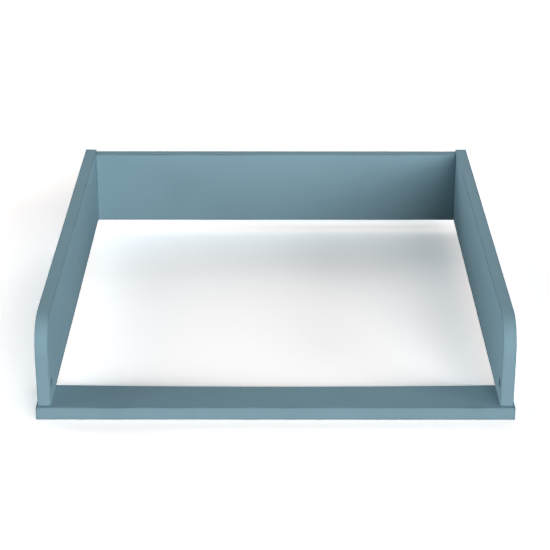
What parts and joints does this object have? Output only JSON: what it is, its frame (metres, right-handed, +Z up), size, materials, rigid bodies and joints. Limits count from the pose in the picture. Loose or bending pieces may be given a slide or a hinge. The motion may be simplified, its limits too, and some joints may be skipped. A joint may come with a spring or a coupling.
{
  "type": "changing top",
  "caption": "Open frame that stands on a chest of drawers and holds a changing mat: long sides with rounded front corners, a lower back and a flat front rail, joined by cam locks.",
  "frame": {"origin": "under the middle of the frame, level with the underside of the front rail", "axes": "+X to the right seen from the front, +Y to the back, +Z up; the front rail faces -Y"},
  "size_m": [0.79, 0.86, 0.17],
  "materials": {
    "lacquered_board": "satin blue-grey lacquer on board",
    "zinc_cam": "die-cast zinc, dull",
    "steel_bolt": "zinc-plated steel",
    "beech_dowel": "raw beech"
  },
  "bodies": {
    "frame": {"left_side": "lacquered_board", "right_side": "lacquered_board", "back_panel": "lacquered_board", "front_rail": "lacquered_board", "front_bolt_left": "steel_bolt", "back_bolt_left_lower": "steel_bolt", "back_bolt_left_upper": "steel_bolt", "front_bolt_right": "steel_bolt", "back_bolt_right_lower": "steel_bolt", "back_bolt_right_upper": "steel_bolt", "front_dowel_left": "beech_dowel", "back_dowel_left": "beech_dowel", "front_dowel_right": "beech_dowel", "back_dowel_right": "beech_dowel"},
    "front_cam_left": {"front_cam_left": "zinc_cam"},
    "back_cam_left_lower": {"back_cam_left_lower": "zinc_cam"},
    "back_cam_left_upper": {"back_cam_left_upper": "zinc_cam"},
    "front_cam_right": {"front_cam_right": "zinc_cam"},
    "back_cam_right_lower": {"back_cam_right_lower": "zinc_cam"},
    "back_cam_right_upper": {"back_cam_right_upper": "zinc_cam"}
  },
  "joints": [
    {"name": "front_cam_left_turn", "type": "hinge", "parent": "frame", "child": "front_cam_left", "pos_m": [-0.37, -0.404, 0.056], "axis": [1, 0, 0], "range_deg": [0, 180]},
    {"name": "back_cam_left_lower_turn", "type": "hinge", "parent": "frame", "child": "back_cam_left_lower", "pos_m": [-0.336, 0.43, 0.057], "axis": [0, 1, 0], "range_deg": [0, 180]},
    {"name": "back_cam_left_upper_turn", "type": "hinge", "parent": "frame", "child": "back_cam_left_upper", "pos_m": [-0.336, 0.43, 0.131], "axis": [0, 1, 0], "range_deg": [0, 180]},
    {"name": "front_cam_right_turn", "type": "hinge", "parent": "frame", "child": "front_cam_right", "pos_m": [0.37, -0.404, 0.056], "axis": [-1, 0, 0], "range_deg": [0, 180]},
    {"name": "back_cam_right_lower_turn", "type": "hinge", "parent": "frame", "child": "back_cam_right_lower", "pos_m": [0.336, 0.43, 0.057], "axis": [0, 1, 0], "range_deg": [0, 180]},
    {"name": "back_cam_right_upper_turn", "type": "hinge", "parent": "frame", "child": "back_cam_right_upper", "pos_m": [0.336, 0.43, 0.131], "axis": [0, 1, 0], "range_deg": [0, 180]}
  ]
}
